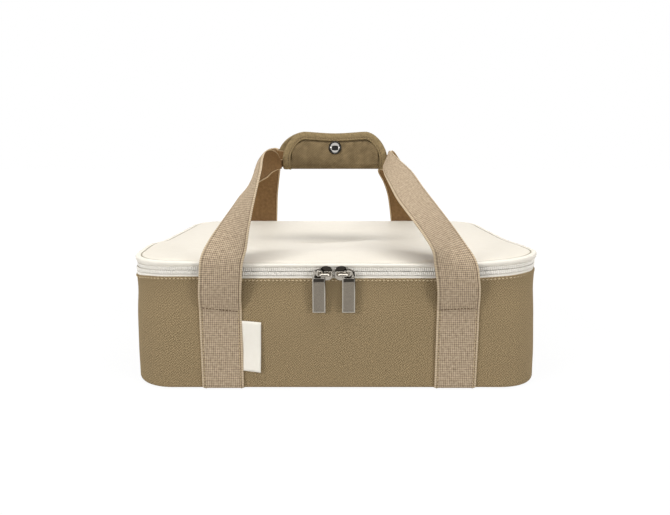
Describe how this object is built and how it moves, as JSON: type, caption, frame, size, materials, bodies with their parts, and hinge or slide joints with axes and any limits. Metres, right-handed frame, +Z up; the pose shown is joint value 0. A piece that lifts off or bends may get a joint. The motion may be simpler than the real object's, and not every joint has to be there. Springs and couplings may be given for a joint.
{
  "type": "casserole carrier",
  "caption": "Insulated rounded-rectangle food carrier: padded twill tub, zipped cream lid, webbing handle loops gathered in a snap grip wrap.",
  "frame": {"origin": "on the table, under the middle of the carrier", "axes": "+X along the length to the right as seen from the front, +Y to the rear hinge side, +Z up"},
  "size_m": [0.404, 0.2977, 0.2477],
  "materials": {
    "twill": "khaki brown twill",
    "cream_cloth": "cream canvas",
    "webbing": "tan ribbed webbing",
    "binding": "brown binding tape",
    "zip_tape": "cream woven tape",
    "zip_coil": "moulded coil",
    "foam": "closed-cell foam",
    "liner": "wipe-clean film",
    "board": "flat sheet",
    "tag": "woven tag, bare",
    "dark_nickel": "dark nickel plate",
    "bright_nickel": "bright nickel plate"
  },
  "bodies": {
    "base": {"body_outer_wall": "twill", "base_outer_panel": "twill", "base_stiffener_board": "board", "body_foam_wall": "foam", "base_foam_pad": "foam", "body_liner": "liner", "body_rim_binding": "binding", "body_zip_tape": "zip_tape", "body_zip_coil": "zip_coil", "rear_hinge_panel": "cream_cloth", "strap_left_sewn": "webbing", "strap_right_sewn": "webbing", "side_tag": "tag"},
    "lid": {"lid_zip_tape": "zip_tape", "lid_zip_coil": "zip_coil", "lid_gusset": "cream_cloth", "lid_piping": "cream_cloth", "lid_top_panel": "cream_cloth", "lid_foam": "foam", "lid_liner": "liner", "lid_rim_binding": "binding"},
    "front_handle": {"front_handle_webbing": "webbing"},
    "rear_handle": {"rear_handle_webbing": "webbing", "grip_back_panel": "twill", "grip_back_padding": "foam", "grip_back_binding": "binding", "snap_stud": "bright_nickel", "snap_post": "bright_nickel"},
    "grip_flap": {"grip_front_flap": "twill", "grip_flap_padding": "foam", "grip_flap_binding": "binding", "snap_cap": "bright_nickel", "snap_socket": "bright_nickel"},
    "slider_left": {"slider_body_left": "dark_nickel", "slider_crown_left": "dark_nickel"},
    "slider_right": {"slider_body_right": "dark_nickel", "slider_crown_right": "dark_nickel"},
    "pull_left": {"pull_tab_left": "dark_nickel"},
    "pull_right": {"pull_tab_right": "dark_nickel"}
  },
  "joints": [
    {"name": "lid_hinge", "type": "hinge", "parent": "base", "child": "lid", "pos_m": [0, 0.135, 0.11975], "axis": [-1, 0, 0], "range_deg": [0, 100]},
    {"name": "front_handle_drop", "type": "hinge", "parent": "base", "child": "front_handle", "pos_m": [0, -0.139, 0.0794], "axis": [1, 0, 0], "range_deg": [0, 125]},
    {"name": "rear_handle_drop", "type": "hinge", "parent": "base", "child": "rear_handle", "pos_m": [0, 0.139, 0.0794], "axis": [-1, 0, 0], "range_deg": [0, 125]},
    {"name": "grip_flap_open", "type": "hinge", "parent": "rear_handle", "child": "grip_flap", "pos_m": [0, -0.0106, 0.21215], "axis": [1, 0, 0], "range_deg": [0, 120]},
    {"name": "slider_left_slide", "type": "slide", "parent": "base", "child": "slider_left", "axis": [-1, 0, 0], "range_m": [0, 0.055]},
    {"name": "slider_right_slide", "type": "slide", "parent": "base", "child": "slider_right", "axis": [1, 0, 0], "range_m": [0, 0.055]},
    {"name": "pull_left_swing", "type": "hinge", "parent": "slider_left", "child": "pull_left", "pos_m": [-0.015, -0.1402, 0.1138], "axis": [-1, 0, 0], "range_deg": [0, 165]},
    {"name": "pull_right_swing", "type": "hinge", "parent": "slider_right", "child": "pull_right", "pos_m": [0.0127, -0.1402, 0.1138], "axis": [-1, 0, 0], "range_deg": [0, 165]}
  ],
  "couplings": [
    {"joint": "front_handle_drop", "follows": "lid_hinge", "ratio": 1.25},
    {"joint": "rear_handle_drop", "follows": "lid_hinge", "ratio": 1.25},
    {"joint": "grip_flap_open", "follows": "lid_hinge", "ratio": 1.2}
  ]
}
